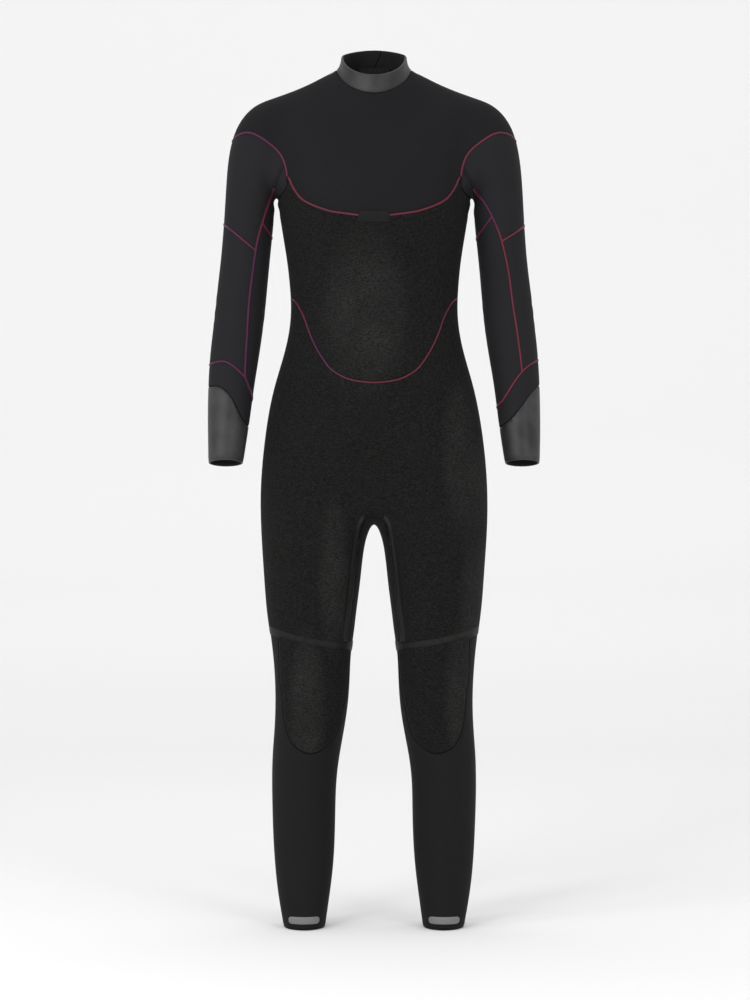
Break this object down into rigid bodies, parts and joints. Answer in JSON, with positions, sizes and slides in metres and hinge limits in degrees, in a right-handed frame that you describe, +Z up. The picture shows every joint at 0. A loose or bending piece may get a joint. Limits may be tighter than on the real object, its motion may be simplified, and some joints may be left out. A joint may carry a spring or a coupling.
{
  "type": "full-length back-zip wetsuit",
  "caption": "Full-length neoprene wetsuit with long sleeves and legs, plush body and knee panels, smooth collar and cuffs, taped curved seams and a straight back zip under a collar tab.",
  "frame": {"origin": "under the middle of the suit, level with the ankle hems", "axes": "+Z up towards the collar, the chest faces -Y, the wearer's left side is +X"},
  "size_m": [0.519, 0.2109, 1.3861],
  "materials": {
    "jersey": "stretch nylon jersey laminated to neoprene, matt",
    "plush": "short soft plush pile laminated to neoprene, mottled, matt",
    "smoothskin": "smooth neoprene skin, satin",
    "burgundy_tape": "liquid rubber seam tape, satin",
    "black_tape": "rubber tape, satin",
    "rubber_trim": "moulded rubber, matt",
    "zip_nylon": "moulded nylon",
    "webbing": "woven nylon",
    "zip_metal": "dark plated zinc"
  },
  "bodies": {
    "suit": {"yoke": "jersey", "gusset": "jersey", "seat_panel": "jersey", "left_back_panel": "jersey", "right_back_panel": "jersey", "left_back_thigh": "jersey", "right_back_thigh": "jersey", "left_shin_panel": "jersey", "right_shin_panel": "jersey", "left_calf_panel": "jersey", "right_calf_panel": "jersey", "left_upper_sleeve": "jersey", "right_upper_sleeve": "jersey", "left_underarm": "jersey", "right_underarm": "jersey", "left_outer_forearm": "jersey", "right_outer_forearm": "jersey", "left_inner_forearm": "jersey", "right_inner_forearm": "jersey", "left_wrist_panel": "jersey", "right_wrist_panel": "jersey", "left_collar_back": "jersey", "right_collar_back": "jersey", "chest_panel": "plush", "front_legs_panel": "plush", "left_kneepad": "plush", "right_kneepad": "plush", "collar_front": "smoothskin", "zip_underflap": "smoothskin", "left_cuff": "smoothskin", "right_cuff": "smoothskin", "belly_seam": "burgundy_tape", "left_chest_seam": "burgundy_tape", "right_chest_seam": "burgundy_tape", "left_shoulder_seam": "burgundy_tape", "right_shoulder_seam": "burgundy_tape", "left_sleeve_seam": "burgundy_tape", "right_sleeve_seam": "burgundy_tape", "left_elbow_seam": "burgundy_tape", "right_elbow_seam": "burgundy_tape", "left_wrist_seam": "burgundy_tape", "right_wrist_seam": "burgundy_tape", "chest_label": "black_tape", "left_knee_band": "black_tape", "right_knee_band": "black_tape", "left_thigh_seam": "black_tape", "right_thigh_seam": "black_tape", "left_ankle_tab": "rubber_trim", "right_ankle_tab": "rubber_trim", "left_zip_teeth": "zip_nylon", "right_zip_teeth": "zip_nylon", "loop_patch": "webbing", "left_zip_tape": "webbing", "right_zip_tape": "webbing", "zip_bottom_stop": "zip_metal"},
    "slider": {"zip_slider": "zip_metal", "slider_bridge": "zip_metal"},
    "pull": {"zip_pull": "zip_metal"},
    "tab": {"collar_tab": "smoothskin", "hook_patch": "webbing"}
  },
  "joints": [
    {"name": "zip_slide", "type": "slide", "parent": "suit", "child": "slider", "axis": [0, 0.0519, -0.9987], "range_m": [0, 0.403]},
    {"name": "pull_hinge", "type": "hinge", "parent": "slider", "child": "pull", "pos_m": [0, 0.07375, 1.30984], "axis": [1, 0, 0], "range_deg": [0, 170]},
    {"name": "tab_hinge", "type": "hinge", "parent": "suit", "child": "tab", "pos_m": [-0.0147, 0.0669, 1.3595], "axis": [0, -0.275, 0.9614], "range_deg": [0, 110]}
  ]
}
